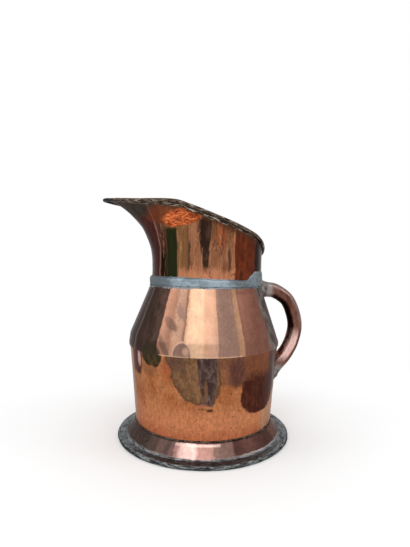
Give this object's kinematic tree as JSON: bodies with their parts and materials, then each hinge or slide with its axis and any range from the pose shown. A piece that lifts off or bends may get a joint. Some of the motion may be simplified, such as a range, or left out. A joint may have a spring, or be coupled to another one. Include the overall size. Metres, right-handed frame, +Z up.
{
  "type": "copper pitcher",
  "caption": "Old sheet-copper pouring jug with a tapered drum body, flared foot, oblique shoulder, helmet-shaped spout with a rolled wired rim and a hollow loop handle.",
  "frame": {"origin": "centre of the foot on the ground it stands on", "axes": "+Z up; the spout points along -X and the handle along +X; Y is across the jug"},
  "size_m": [0.2781, 0.2272, 0.3086],
  "materials": {
    "copper": "old polished copper, patinated brown in patches; tinned dull grey inside",
    "solder": "dull grey wiped tin-lead solder",
    "wire": "plain drawn iron wire, hidden inside the rolled edges"
  },
  "bodies": {
    "root": {"drum": "copper", "shoulder_cone": "copper", "foot_skirt": "copper", "base_plate": "copper", "spout_collar": "copper", "handle": "copper", "base_solder": "solder", "shoulder_solder": "solder", "foot_solder": "solder", "neck_solder": "solder", "neck_patch_solder": "solder", "handle_top_solder": "solder", "handle_bottom_solder": "solder", "lower_seam_solder": "solder", "upper_seam_solder": "solder", "shoulder_seam_solder": "solder", "foot_wire": "wire", "rim_wire": "wire"}
  },
  "joints": []
}
